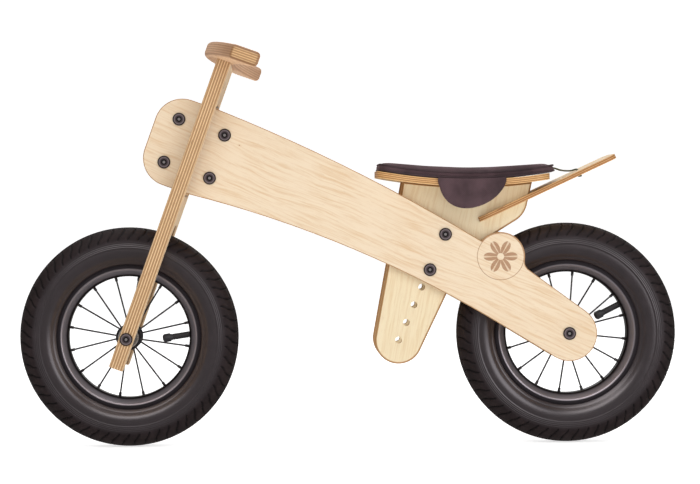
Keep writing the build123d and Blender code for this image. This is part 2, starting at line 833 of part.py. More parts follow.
    with BuildPart() as cap:
        with Locations(valve_plane.offset(stem_end - cap_length)):
            Cylinder(
                cap_diameter / 2,
                cap_length,
                align=(Align.CENTER, Align.CENTER, Align.MIN),
            )
        cap_rims = cap.edges().filter_by(GeomType.CIRCLE)
        chamfer(cap_rims, 1.0)
    save(cap.part, f"{prefix}_valve_cap")


spoke_step = 360 / spoke_count
wheel("front", front_x, 12.8, 12.8 - spoke_step / 2, 7.0)
wheel("rear", rear_x, 15.4, 15.4 + spoke_step / 2, 0.0)

# ---- Seat boards ----
front_lean = math.radians(tongue_front_lean)
rear_lean = math.radians(tongue_rear_lean)
tongue = seat_holes[0]
tongue_front = (
    tongue[0] - tongue_radius * math.cos(front_lean),
    tongue[1] + tongue_radius * math.sin(front_lean),
)
tongue_rear = (
    tongue[0] + tongue_radius * math.cos(rear_lean),
    tongue[1] - tongue_radius * math.sin(rear_lean),
)
plate_under = [
    (x, curve_z(x, plate_radius)) for x in (seat_x - board_front, dip_x, seat_x + board_rear)
]
waist = (seat_x + waist_back, seat_z + waist_up)
heel = (seat_x + heel_back, seat_z + heel_up)
slope = math.radians(mudguard_slope)
mudguard_front = (seat_x + mudguard_back, seat_z + mudguard_up)


def mudguard_place(along, above=0.0):
    """The X and Z this far along the mudguard from its front lower corner, and above its underside."""
    x = mudguard_front[0] + along * math.cos(slope) - above * math.sin(slope)
    z = mudguard_front[1] + along * math.sin(slope) + above * math.cos(slope)
    return (x, z)


def board_outline():
    """The side view of a seat board: a tongue below, and a wide part under the seat plate."""
    with BuildSketch() as outline:
        with BuildLine():
            Line(tongue_front, plate_under[0])
            ThreePointArc(*plate_under)
            Polyline(plate_under[-1], heel, waist, tongue_rear, tongue_front)
        make_face()
        with Locations(tongue):
            Circle(tongue_radius)
        for corner, corner_radius in ((heel, heel_radius), (waist, waist_radius)):
            fillet(outline.vertices().sort_by_distance((*corner, 0))[0], corner_radius)
    return outline.sketch_local


for side, face_y in (("left", -board_inner), ("right", panel_inner)):
    with BuildPart() as board:
        with BuildSketch(side_plane(face_y)):
            add(board_outline())
        extrude(amount=board_thickness)
        chamfer(board.faces().filter_by(Axis.Y).edges(), board_edge)
        drill_across(seat_holes, bolt_hole_radius)
        with BuildSketch(side_plane(face_y)):
            with BuildLine():
                Polyline(
                    mudguard_place(-slot_gap, -slot_gap),
                    mudguard_place(mudguard_length, -slot_gap),
                    mudguard_place(mudguard_length, mudguard_thickness + slot_gap),
                    mudguard_place(-slot_gap, mudguard_thickness + slot_gap),
                    close=True,
                )
            make_face()
        extrude(amount=board_thickness, mode=Mode.SUBTRACT)
    save(board.part, f"seat_board_{side}")

with BuildPart() as seat_spacers:
    with BuildSketch(side_plane(board_inner)):
        with Locations(*seat_bolts):
            Circle(spacer_tube / 2)
            Circle(bolt_hole_radius, mode=Mode.SUBTRACT)
    extrude(amount=2 * board_inner)
save(seat_spacers.part, "seat_spacer_tubes")


def curved_slab(low_radius, high_radius, ahead, behind, width, crown=0.0):
    """A slab between two arcs about the seat plate's centre, thickened by a crown at its middle."""
    first, last = dip_x - ahead, dip_x + behind
    with BuildPart() as slab:
        with BuildSketch(side_plane(width / 2)):
            with BuildLine():
                lower = [(x, curve_z(x, low_radius)) for x in (first, dip_x, last)]
                upper = [(x, curve_z(x, high_radius)) for x in (last, dip_x, first)]
                upper[1] = (upper[1][0], upper[1][1] + crown)
                ThreePointArc(*lower)
                Line(lower[-1], upper[0])
                ThreePointArc(*upper)
                Line(upper[-1], lower[0])
            make_face()
        extrude(amount=width)
    return slab.part


# ---- Seat plate, its cleats and screws ----
screw_places = [dip_x - cleat_ahead + screw_inset, dip_x + cleat_behind - screw_inset]
screw_y = board_inner - cleat_width / 2
screw_planes = []
for px in screw_places:
    for py in (-screw_y, screw_y):
        top = Vector(px, py, curve_z(px, plate_top_radius))
        to_centre = Vector(dip_x - px, 0, dip_z + plate_radius - top.Z)
        screw_planes.append(Plane(origin=top, z_dir=to_centre))


def screws(shank_gap, mode=Mode.ADD):
    """The four wood screws, or with a gap and Mode.SUBTRACT their holes."""
    for plane in screw_planes:
        with Locations(plane):
            Cylinder(
                screw_diameter / 2 + shank_gap,
                screw_length + shank_gap,
                align=(Align.CENTER, Align.CENTER, Align.MAX),
                mode=mode,
            )
            Cone(
                screw_diameter / 2 + shank_gap,
                screw_head / 2 + shank_gap,
                screw_head_height,
                align=(Align.CENTER, Align.CENTER, Align.MAX),
                mode=mode,
            )


with BuildPart() as seat_plate:
    add(curved_slab(plate_radius, plate_top_radius, plate_ahead, plate_behind, plate_width))
    upright = seat_plate.edges().filter_by(
        lambda e: e.length < 1.2 * plate_thickness and abs(abs(e.center().Y) - plate_width / 2) < 1
    )
    fillet(upright, plate_corner)
    screws(seat_fit, Mode.SUBTRACT)
save(seat_plate.part, "seat_plate")

with BuildPart() as cleats:
    first, last = dip_x - cleat_ahead, dip_x + cleat_behind
    under = [(x, curve_z(x, plate_radius)) for x in (first, dip_x, last)]
    for way in (-1, 1):
        with BuildSketch(side_plane(way * board_inner)):
            with BuildLine():
                ThreePointArc(*under)
                Polyline(under[-1], (last, dip_z - cleat_depth), (first, dip_z - cleat_depth), under[0])
            make_face()
        extrude(amount=way * cleat_width)
    screws(seat_fit, Mode.SUBTRACT)
save(cleats.part, "seat_cleats")

with BuildPart() as seat_screws:
    screws(0)
save(seat_screws.part, "seat_screws")

# ---- Mudguard ----
guard_plane = Plane(
    origin=(mudguard_front[0], 0, mudguard_front[1]),
    x_dir=(math.cos(slope), 0, math.sin(slope)),
    z_dir=(-math.sin(slope), 0, math.cos(slope)),
)
with BuildPart() as mudguard:
    with BuildSketch(guard_plane) as guard_plan:
        with Locations((mudguard_length / 2, 0)):
            Rectangle(mudguard_length, mudguard_width)
        fillet(guard_plan.vertices(), mudguard_corner)
        with Locations((strap_hole_back, 0)):
            Rectangle(
                strap_thickness + 2 * soft_gap, strap_width + 2 * soft_gap, mode=Mode.SUBTRACT
            )
    extrude(amount=mudguard_thickness)
save(mudguard.part, "mudguard")

# ---- Seat pad, its side flaps and the elastic strap ----
pad_bottom_radius = plate_top_radius - soft_gap
pad_top_radius = pad_bottom_radius - pad_thickness
with BuildPart() as pad:
    add(
        curved_slab(
            pad_bottom_radius, pad_top_radius, pad_ahead, pad_behind, pad_width, pad_crown
        )
    )
    upright = pad.edges().filter_by(
        lambda e: e.length < 1.2 * pad_thickness and abs(abs(e.center().Y) - pad_width / 2) < 1
    )
    fillet(upright, pad_corner)
    rims = pad.faces().filter_by(lambda f: abs(f.normal_at().Z) > 0.9).edges()
    fillet(rims, pad_edge)
save(pad.part, "seat_pad")

flap_x = dip_x - flap_ahead
flap_top = curve_z(flap_x, pad_bottom_radius) - soft_gap
for side, way in (("left", -1), ("right", 1)):
    with BuildPart() as flap:
        with BuildSketch(side_plane(way * (plate_width / 2 + soft_gap))):
            with BuildLine():
                Line((flap_x - flap_radius, flap_top), (flap_x + flap_radius, flap_top))
                Spline(
                    (flap_x + flap_radius, flap_top),
                    (flap_x + 0.85 * flap_radius, flap_top - 0.43 * flap_drop),
                    (flap_x + 0.50 * flap_radius, flap_top - 0.78 * flap_drop),
                    (flap_x - 0.26 * flap_radius, flap_top - flap_drop),
                    (flap_x - 0.80 * flap_radius, flap_top - 0.66 * flap_drop),
                    (flap_x - flap_radius, flap_top),
                )
            make_face()
        extrude(amount=-way * flap_thickness)
    save(flap.part, f"seat_flap_{side}")

strap_front = strap_hole_back - strap_thickness / 2
strap_rear = strap_hole_back + strap_thickness / 2
bend_height = mudguard_thickness + strap_lift
knot = mudguard_place(strap_hole_back, -strap_knot / 2 - soft_gap)
pad_end = dip_x + pad_behind + soft_gap
pad_end_z = curve_z(dip_x + pad_behind, (pad_top_radius + pad_bottom_radius) / 2)
with BuildPart() as strap:
    with BuildSketch(side_plane(strap_width / 2)):
        with BuildLine():
            Polyline(
                (pad_end, pad_end_z - strap_thickness / 2),
                mudguard_place(strap_front, bend_height),
                mudguard_place(strap_front, -strap_knot / 2),
                mudguard_place(strap_rear, -strap_knot / 2),
                mudguard_place(strap_rear, bend_height + strap_thickness),
                (pad_end, pad_end_z + strap_thickness / 2),
                close=True,
            )
        make_face()
    extrude(amount=strap_width)
    with Locations((knot[0], 0, knot[1])):
        Sphere(strap_knot / 2)
save(strap.part, "elastic_strap")
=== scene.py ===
import math

import bmesh
import bpy
from mathutils import Matrix, Vector, noise


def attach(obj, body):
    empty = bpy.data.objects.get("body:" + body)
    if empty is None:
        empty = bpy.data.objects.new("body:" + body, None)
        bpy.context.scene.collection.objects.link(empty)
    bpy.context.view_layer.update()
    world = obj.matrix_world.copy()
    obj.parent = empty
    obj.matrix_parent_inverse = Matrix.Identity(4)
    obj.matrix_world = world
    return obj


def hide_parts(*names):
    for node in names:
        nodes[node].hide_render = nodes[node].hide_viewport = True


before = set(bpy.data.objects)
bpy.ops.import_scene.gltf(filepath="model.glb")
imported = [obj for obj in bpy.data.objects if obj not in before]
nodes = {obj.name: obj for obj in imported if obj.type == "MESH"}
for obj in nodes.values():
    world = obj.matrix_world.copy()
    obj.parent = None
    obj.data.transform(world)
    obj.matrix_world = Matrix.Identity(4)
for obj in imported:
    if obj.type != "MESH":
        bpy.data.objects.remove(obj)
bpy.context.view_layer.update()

MM = 0.001

# ---- Places on the bike, in metres ----
FRONT_AXLE = Vector((-0.311, 0, 0.156))
REAR_AXLE = Vector((0.311, 0, 0.156))
LEAN = math.radians(20)
STEER_UP = Vector((math.sin(LEAN), 0, math.cos(LEAN)))
STEER_BACK = Vector((math.cos(LEAN), 0, -math.sin(LEAN)))
ACROSS = Vector((0, 1, 0))
DISC = Vector((0.2152, 0, 0.2653))
BADGE_RING = 0.0328
DIP = Vector((0.179, 0, 0.365))
PLATE_RADIUS = 0.700
PLATE_THICKNESS = 0.009
MUDGUARD_SLOPE = math.radians(24.5)
MUDGUARD_ALONG = Vector((math.cos(MUDGUARD_SLOPE), 0, math.sin(MUDGUARD_SLOPE)))
MUDGUARD_UP = Vector((-math.sin(MUDGUARD_SLOPE), 0, math.cos(MUDGUARD_SLOPE)))
MUDGUARD_FRONT = Vector((0.1877, 0, 0.3144))
MUDGUARD_SLOT = 0.160  # along the mudguard from its front end
HEAD_CENTRE = 0.28275  # up the steering line from the front axle
HEAD_BOLT_UP, HEAD_BOLT_BACK = 0.032, 0.034
SEAT_BOLTS = ((0.1156, 0.2478), (0.1379, 0.29742))  # X and Z
FORK_HALF_THICKNESS = 10.25 * MM
HANDLEBAR_FOOT = 412 * MM  # up the steering line from the front axle
PANEL_INNER_FACE = 35 * MM
SEAT_BOARD_INNER_FACE = 23 * MM
RIM_BED = 0.086


# ---- Finishes ----
def shade(red, green, blue):
    """A colour given as it looks, from 0 to 255, turned into the linear one a shader takes."""
    return tuple(
        (c / 255 / 12.92) if c / 255 <= 0.04045 else ((c / 255 + 0.055) / 1.055) ** 2.4
        for c in (red, green, blue)
    )


class Finish:
    """A node material, built up one linked node at a time."""

    def __init__(self, name, **shader_values):
        self.material = bpy.data.materials.new(name)
        self.material.use_nodes = True
        self.tree = self.material.node_tree
        self.shader = self.tree.nodes["Principled BSDF"]
        coords = self.tree.nodes.new("ShaderNodeTexCoord")
        self.place = coords.outputs["Object"]
        self.facing = coords.outputs["Normal"]
        for socket, value in shader_values.items():
            self.give(socket.replace("_", " "), value)

    def fill(self, socket, value):
        if isinstance(value, bpy.types.NodeSocket):
            self.tree.links.new(value, socket)
        elif socket.type == "RGBA":
            socket.default_value = (*value[:3], 1)
        else:
            socket.default_value = value

    def give(self, name, value):
        self.fill(self.shader.inputs[name], value)

    def node(self, kind, values=(), **settings):
        made = self.tree.nodes.new("ShaderNode" + kind)
        for key, value in settings.items():
            setattr(made, key, value)
        for socket, value in zip(made.inputs, values):
            if value is not None:
                self.fill(socket, value)
        return made

    def math(self, operation, *values):
        return self.node("Math", values, operation=operation).outputs[0]

    def dot(self, vector, axis):
        return self.node("VectorMath", (vector, tuple(axis)), operation="DOT_PRODUCT").outputs[1]

    def offset(self, vector, point):
        return self.node("VectorMath", (vector, tuple(point)), operation="SUBTRACT").outputs[0]

    def scaled(self, vector, factors):
        return self.node("VectorMath", (vector, tuple(factors)), operation="MULTIPLY").outputs[0]

    def length(self, vector):
        return self.node("VectorMath", (vector,), operation="LENGTH").outputs[1]

    def combine(self, x, y, z=0.0):
        return self.node("CombineXYZ", (x, y, z)).outputs[0]

    def noise(self, vector, scale=1.0, detail=3.0, rough=0.55):
        made = self.node("TexNoise")
        self.fill(made.inputs["Vector"], vector)
        made.inputs["Scale"].default_value = scale
        made.inputs["Detail"].default_value = detail
        made.inputs["Roughness"].default_value = rough
        return made.outputs[0]

    def drawn_out(self, values, scales, detail=3.0, rough=0.55):
        """Noise over two or three values, each with its own scale."""
        scaled = [self.math("MULTIPLY", value, scale) for value, scale in zip(values, scales)]
        return self.noise(self.combine(*scaled), 1, detail, rough)

    def ease(self, value, low, high, out_low=0.0, out_high=1.0):
        """Runs smoothly from out_low to out_high as the value goes from low to high."""
        made = self.node(
            "MapRange", (value, low, high, out_low, out_high), interpolation_type="SMOOTHSTEP"
        )
        return made.outputs[0]

    def blend(self, share, first, second):
        made = self.node("Mix", data_type="RGBA")
        for index, value in ((0, share), (6, first), (7, second)):
            self.fill(made.inputs[index], value)
        return made.outputs[2]

    def bands(self, value, stops):
        """Colours that change with a value, as a list of (value from 0 to 1, colour)."""
        ramp = self.node("ValToRGB", (value,))
        elements = ramp.color_ramp.elements
        while len(elements) < len(stops):
            elements.new(0.5)
        for element, (position, colour) in zip(elements, stops):
            element.position = position
            element.color = (*colour, 1)
        return ramp.outputs[0]

    def bump(self, height, depth, strength=1.0):
        made = self.node("Bump")
        made.inputs["Strength"].default_value = strength
        made.inputs["Distance"].default_value = depth
        self.fill(made.inputs["Height"], height)
        self.give("Normal", made.outputs[0])


def birch(name, stack, grain, ply, base, pale, tone, edge_pale, edge_dark, burnt, **options):
    """Birch plywood: a face veneer with grain along one axis, and banded plies on each cut edge.

    stack is the direction across the plies, and base the place along it where the first ply starts.
    options are arc (the plies follow an arc with this centre and radius), mirrored (the plies run
    outwards from the middle plane), knots (each a place and a size), engraved, glue, scorched and
    ends (two colours for the end grain).
    """
    f = Finish(name, Roughness=0.5, Coat_Weight=0.12, Coat_Roughness=0.35)
    stack, grain = Vector(stack), Vector(grain)
    side = stack.cross(grain)
    along, across, level = f.dot(f.place, grain), f.dot(f.place, side), f.dot(f.place, stack)
    if options.get("arc"):
        centre, radius = options["arc"]
        away = f.scaled(f.offset(f.place, centre), (1, 0, 1))
        level = f.math("SUBTRACT", radius, f.length(away))
    elif options.get("mirrored"):
        level = f.math("ABSOLUTE", level)

    # face veneer: drifting tone, long streaks, short flames and fine pores
    drift = f.drawn_out((along, across, level), (3.0, 9.0, 1.0))
    warp = f.drawn_out((along, across), (5.0, 14.0))
    bent = f.math("ADD", across, f.math("MULTIPLY", f.math("SUBTRACT", warp, 0.5), 0.03))
    streaks = f.drawn_out((along, bent), (15.0, 300.0), 4, 0.62)
    flames = f.drawn_out((along, bent), (28.0, 95.0), 2, 0.5)
    pores = f.drawn_out((along, bent), (110.0, 1500.0), 2, 0.5)
    face = f.blend(f.ease(streaks, 0.42, 0.72), pale, tone)
    face = f.blend(f.ease(drift, 0.45, 0.75, 0.0, 0.4), face, tone)
    face = f.blend(f.ease(flames, 0.6, 0.78, 0.0, 0.35), face, tone)
    face = f.blend(f.ease(pores, 0.62, 0.74, 0.0, 0.22), face, burnt)
    for spot, size in options.get("knots", ()):
        away = f.offset(f.place, spot)
        oval = f.combine(
            f.math("MULTIPLY", f.dot(away, grain), 0.55), f.dot(away, side), 0.0
        )
        near = f.math(
            "ADD", f.length(oval), f.math("MULTIPLY", f.math("SUBTRACT", streaks, 0.5), size)
        )
        face = f.blend(f.ease(near, 0.5 * size, 3.2 * size, 0.55, 0.0), face, tone)
        face = f.blend(f.ease(near, 0.4 * size, 1.1 * size, 0.8, 0.0), face, burnt)
    if options.get("engraved"):
        face = f.blend(options["engraved"](f, pores), face, burnt)

    # cut edges: long-grain plies pale, cross plies dark and porous, with a thin glue line between
    waver = f.noise(f.place, 70.0, 2, 0.5)
    shifted = f.math("ADD", level, f.math("MULTIPLY", f.math("SUBTRACT", waver, 0.5), 0.35 * MM))
    count = f.math("SUBTRACT", f.math("DIVIDE", f.math("SUBTRACT", shifted, base), ply), 0.5)
    turn = f.math("PINGPONG", count, 1.0)
    cross_ply = f.ease(turn, 0.38, 0.62)
    glue = f.ease(f.math("ABSOLUTE", f.math("SUBTRACT", turn, 0.5)), 0.03, 0.16, 1.0, 0.0)
    fibres = f.noise(f.scaled(f.place, (260, 260, 260)), 1, 2, 0.6)
    layered = f.drawn_out((along, across, level), (35.0, 35.0, 1600.0), 3, 0.6)
    edge = f.blend(cross_ply, edge_pale, edge_dark)
    edge = f.blend(f.ease(fibres, 0.5, 0.8, 0.0, 0.45), edge, edge_dark)
    edge = f.blend(f.ease(layered, 0.45, 0.75, 0.0, 0.5), edge, edge_dark)
    edge = f.blend(f.math("MULTIPLY", glue, options.get("glue", 0.4)), edge, burnt)
    voids = f.drawn_out((along, across, level), (45.0, 45.0, 330.0), 1, 0.4)
    edge = f.blend(f.ease(voids, 0.74, 0.8, 0.0, 0.75), edge, burnt)

    if options.get("ends"):
        squareness = f.math("ABSOLUTE", f.dot(f.facing, grain))
        end_on = f.ease(squareness, 0.35, 0.75)
        end_pale, end_dark = options["ends"]
        end = f.blend(cross_ply, end_pale, end_dark)
        end = f.blend(f.ease(fibres, 0.5, 0.8, 0.0, 0.4), end, end_dark)
        end = f.blend(f.math("MULTIPLY", glue, 0.6), end, burnt)
        edge = f.blend(end_on, edge, end)
        rounded = f.math(
            "MULTIPLY", f.ease(squareness, 0.2, 0.5), f.ease(squareness, 0.86, 0.985, 0.6, 0.0)
        )
        edge = f.blend(rounded, edge, burnt)

    # where a face meets an edge the corner is scorched
    square = f.math("ABSOLUTE", f.dot(f.facing, stack))
    is_face = f.ease(square, 0.86, 0.97)
    colour = f.blend(is_face, edge, face)
    scorched = options.get("scorched", 0.6)
    on_corner = f.math(
        "MULTIPLY", f.ease(square, 0.3, 0.55), f.ease(square, 0.86, 0.97, scorched, 0.0)
    )
    colour = f.blend(on_corner, colour, burnt)
    f.give("Base Color", colour)
    f.give("Roughness", f.ease(streaks, 0.2, 0.8, 0.42, 0.58))
    relief = f.math("ADD", f.math("MULTIPLY", pores, 0.5), f.math("MULTIPLY", streaks, 0.5))
    relief = f.math("ADD", relief, f.math("MULTIPLY", glue, -0.6))
    f.bump(relief, 0.12 * MM, 0.5)
    return f.material


def burnt_badge(f, pores):
    """The share of scorching of a thin ring with a six-petalled flower burnt inside it."""
    away = f.scaled(f.offset(f.place, DISC), (1, 0, 1))
    radius = f.length(away)
    split = f.node("SeparateXYZ", (away,)).outputs
    angle = f.math("ARCTAN2", split[2], split[0])
    off_ring = f.math("ABSOLUTE", f.math("SUBTRACT", radius, BADGE_RING))
    ring = f.ease(off_ring, 0.3 * MM, 0.75 * MM, 0.8, 0.0)
    lobe = f.math("ABSOLUTE", f.math("COSINE", f.math("MULTIPLY", angle, 3.0)))
    waist, petal_length = 0.0055, 0.0185
    reach = f.math("MULTIPLY_ADD", f.math("POWER", lobe, 0.7), petal_length, waist)
    inside = f.math("SUBTRACT", reach, radius)
    petals = f.ease(inside, -0.3 * MM, 0.4 * MM, 0.0, 0.9)
    vein = f.ease(lobe, 0.975, 0.992, 1.0, 0.25)
    heart = f.ease(radius, 4.6 * MM, 5.2 * MM, 0.0, 1.0)
    petals = f.math("MULTIPLY", petals, f.math("MULTIPLY", vein, heart))
    marks = f.math("MAXIMUM", ring, petals)
    return f.math("MULTIPLY", marks, f.ease(pores, 0.2, 0.8, 1.0, 0.7))


PANEL_SLOPE, TONGUE_LEAN = math.radians(-24), math.radians(12)
PANEL_GRAIN = Vector((math.cos(PANEL_SLOPE), 0, math.sin(PANEL_SLOPE)))
TONGUE_GRAIN = Vector((math.sin(TONGUE_LEAN), 0, math.cos(TONGUE_LEAN)))
BURNT = shade(152, 100, 60)

panel_birch = birch(
    "panel_birch",
    ACROSS,
    PANEL_GRAIN,
    ply=1.333 * MM,
    base=PANEL_INNER_FACE,
    mirrored=True,
    pale=shade(230, 210, 182),
    tone=shade(217, 186, 148),
    edge_pale=shade(222, 188, 142),
    edge_dark=shade(176, 132, 86),
    burnt=BURNT,
    engraved=burnt_badge,
    knots=((Vector((-0.1508, 0, 0.4257)), 0.8 * MM),),
)
board_birch = birch(
    "seat_birch",
    ACROSS,
    TONGUE_GRAIN,
    ply=1.333 * MM,
    base=SEAT_BOARD_INNER_FACE,
    mirrored=True,
    pale=shade(230, 213, 179),
    tone=shade(220, 196, 156),
    edge_pale=shade(208, 170, 118),
    edge_dark=shade(172, 128, 80),
    burnt=shade(160, 116, 70),
    scorched=0.6,
)
inner_birch = birch(
    "inner_birch",
    ACROSS,
    STEER_UP,
    ply=1.4 * MM,
    base=0.0,
    pale=shade(226, 196, 152),
    tone=shade(210, 174, 128),
    edge_pale=shade(222, 188, 142),
    edge_dark=shade(182, 140, 94),
    burnt=BURNT,
    scorched=0.2,
)
fork_birch = birch(
    "fork_birch",
    STEER_BACK,
    STEER_UP,
    ply=1.864 * MM,
    base=FRONT_AXLE.dot(STEER_BACK) - FORK_HALF_THICKNESS,
    pale=shade(232, 204, 166),
    tone=shade(214, 178, 134),
    edge_pale=shade(228, 194, 150),
    edge_dark=shade(172, 130, 86),
    burnt=shade(120, 80, 46),
    scorched=0.3,
    glue=0.75,
)
handlebar_birch = birch(
    "handlebar_birch",
    STEER_UP,
    ACROSS,
    ply=1.615 * MM,
    base=FRONT_AXLE.dot(STEER_UP) + HANDLEBAR_FOOT,
    pale=shade(226, 186, 148),
    tone=shade(206, 160, 120),
    edge_pale=shade(220, 178, 140),
    edge_dark=shade(190, 144, 108),
    burnt=shade(128, 82, 46),
    scorched=0.2,
    glue=0.2,
    ends=(shade(214, 176, 128), shade(170, 126, 82)),
    knots=((FRONT_AXLE + STEER_UP * 0.424 - STEER_BACK * 0.012 + ACROSS * -0.118, 2.2 * MM),),
)
plate_birch = birch(
    "plate_birch",
    (0, 0, 1),
    (1, 0, 0),
    ply=1.286 * MM,
    base=0.0,
    arc=(DIP + Vector((0, 0, PLATE_RADIUS)), PLATE_RADIUS),
    pale=shade(236, 208, 162),
    tone=shade(222, 186, 136),
    edge_pale=shade(226, 182, 122),
    edge_dark=shade(168, 114, 62),
    burnt=shade(120, 76, 40),
    scorched=0.35,
    glue=0.55,
)
mudguard_birch = birch(
    "mudguard_birch",
    MUDGUARD_UP,
    MUDGUARD_ALONG,
    ply=1.3 * MM,
    base=MUDGUARD_FRONT.dot(MUDGUARD_UP),
    pale=shade(238, 212, 170),
    tone=shade(224, 190, 142),
    edge_pale=shade(210, 162, 104),
    edge_dark=shade(150, 96, 48),
    burnt=shade(104, 62, 34),
    scorched=0.25,
)


def metal(name, colour, roughness, metallic=1.0, brushed=None, wear=None):
    """Metal with fine turning or drawing marks, and slight patches where it has been handled."""
    f = Finish(name, Metallic=metallic)
    patches = f.noise(f.place, 160.0, 3, 0.6)
    marks = f.noise(f.scaled(f.place, brushed or (900, 900, 900)), 1, 2, 0.6)
    lighter = wear or tuple(min(1.0, 1.35 * c) for c in colour)
    f.give("Base Color", f.blend(f.ease(patches, 0.4, 0.75, 0.0, 0.5), colour, lighter))
    f.give("Roughness", f.ease(patches, 0.3, 0.7, 0.82 * roughness, 1.2 * roughness))
    f.bump(marks, 0.02 * MM, 0.35)
    return f.material


def bolt_finish(name, axes):
    """Browned steel with painted shade in its key socket, a painted glint on the socket's floor, a
    worn face, and a light rim that is worn bare and carries a painted highlight.

    axes are the bolts' places as (X, Z).
    """
    f = Finish(name, Metallic=0.6)
    flat = f.scaled(f.place, (1, 0, 1))
    full_radius = 0.010  # where a band's place is 1
    radius = 1.0  # far beyond any head, until the nearest axis is found
    for x, z in axes:
        radius = f.math("MINIMUM", radius, f.length(f.offset(flat, (x, 0, z))))
    # painted light, by distance from the nearest bolt's axis: glint, socket shade, face, rim
    # highlight, then darker steel beyond
    colour = f.bands(
        f.math("DIVIDE", radius, full_radius),
        (
            # painted glint on the floor of the key socket
            (0.16, shade(176, 168, 168)),
            # painted shade on the walls of the key socket
            (0.22, shade(22, 18, 19)),
            (0.36, shade(24, 20, 21)),
            (0.42, shade(84, 73, 76)),
            (0.56, shade(96, 85, 89)),
            # painted highlight on the worn rim
            (0.64, shade(150, 137, 140)),
            (0.72, shade(124, 110, 112)),
            (0.79, shade(38, 32, 33)),
        ),
    )
    patches = f.noise(f.place, 240.0, 3, 0.6)
    f.give("Base Color", f.blend(f.ease(patches, 0.4, 0.75, 0.0, 0.25), colour, shade(52, 45, 46)))
    f.give("Roughness", f.ease(patches, 0.3, 0.7, 0.32, 0.46))
    f.bump(patches, 0.04 * MM, 0.35)
    return f.material


bolt_bronze = metal("bolt_bronze", shade(78, 68, 68), 0.36, 0.85, wear=shade(120, 108, 102))
head_bolt_places = [
    FRONT_AXLE + STEER_UP * (HEAD_CENTRE + a * HEAD_BOLT_UP) + STEER_BACK * b * HEAD_BOLT_BACK
    for a in (-1, 1)
    for b in (-1, 1)
]
bolt_places = [(p.x, p.z) for p in (*head_bolt_places, FRONT_AXLE, REAR_AXLE)]
panel_bolts = bolt_finish("panel_bolts", [*bolt_places, *SEAT_BOLTS])
zinc = metal("zinc_plate", shade(186, 188, 190), 0.34)
spoke_wire = metal("spoke_wire", shade(44, 39, 41), 0.42, 0.0, brushed=(400, 400, 400))
hub_black = metal("hub_black", shade(48, 46, 48), 0.4, 0.6, brushed=(200, 2500, 200))
hub_silver = metal("hub_silver", shade(214, 214, 216), 0.28, brushed=(200, 2500, 200))
bearing_steel = metal("bearing_steel", shade(160, 160, 164), 0.3)


def rim_paint_and_reflection(name, axle):
    """Dark painted steel on the bed and flange, with a painted reflection as a pale grey band on
    the slanted wall between.
    """
    inner_radius, depth = 0.080, 0.024
    f = Finish(name, Metallic=0.8)
    radius = f.length(f.scaled(f.offset(f.place, axle), (1, 0, 1)))
    share = f.math("DIVIDE", f.math("SUBTRACT", radius, inner_radius), depth)
    specks = f.noise(f.place, 420.0, 3, 0.6)
    # the rim's dark paint, with a painted reflection on its slanted wall
    f.give(
        "Base Color",
        f.bands(
            share,
            (
                (0.0, shade(34, 30, 32)),
                (0.33, shade(38, 33, 35)),
                # painted reflection: the pale grey band on the slanted wall
                (0.42, shade(140, 133, 139)),
                (0.66, shade(176, 168, 174)),
                (0.74, shade(62, 56, 60)),
                (1.0, shade(34, 30, 32)),
            ),
        ),
    )
    f.give("Roughness", f.ease(specks, 0.3, 0.7, 0.28, 0.42))
    f.bump(specks, 0.03 * MM, 0.4)
    return f.material


def tyre_rubber(name, axle):
    """Moulded rubber: matt and brownish on the tread, smoother and glossier on the sidewall, with
    painted shade darkening the cut grooves.
    """
    f = Finish(name, Specular_Tint=(1.0, 0.9, 0.95))
    radius = f.length(f.scaled(f.offset(f.place, axle), (1, 0, 1)))
    dust = f.noise(f.place, 55.0, 4, 0.6)
    grit = f.noise(f.place, 1100.0, 2, 0.6)
    on_tread = f.ease(radius, 0.132, 0.146)
    side = f.blend(f.ease(dust, 0.4, 0.8), shade(29, 20, 22), shade(37, 27, 30))
    tread = f.blend(f.ease(dust, 0.35, 0.75), shade(28, 20, 19), shade(40, 30, 29))
    cut = f.node("Attribute", attribute_name="cut").outputs[2]
    # painted shade: the grooves darken by how deep the tread is cut there
    colour = f.blend(cut, f.blend(on_tread, side, tread), shade(7, 6, 6))
    f.give("Base Color", colour)
    worn = f.math("MULTIPLY", dust, 0.08)
    f.give("Roughness", f.math("ADD", f.ease(radius, 0.126, 0.142, 0.27, 0.58), worn))
    f.give("Specular IOR Level", f.ease(radius, 0.128, 0.140, 1.0, 0.28))
    f.give("Coat Weight", f.ease(radius, 0.128, 0.140, 0.8, 0.0))
    f.give("Coat Roughness", 0.3)
    f.bump(grit, 0.06 * MM, 0.4)
    return f.material


def moulded(name, colour, roughness):
    """Plain moulded plastic or rubber with a fine grained skin."""
    f = Finish(name)
    skin = f.noise(f.place, 1500.0, 2, 0.6)
    tone = f.noise(f.place, 90.0, 3, 0.6)
    f.give("Base Color", f.blend(f.ease(tone, 0.3, 0.8), colour, tuple(1.5 * c for c in colour)))
    f.give("Roughness", f.ease(skin, 0.2, 0.8, roughness - 0.08, roughness + 0.08))
    f.bump(skin, 0.05 * MM, 0.4)
    return f.material


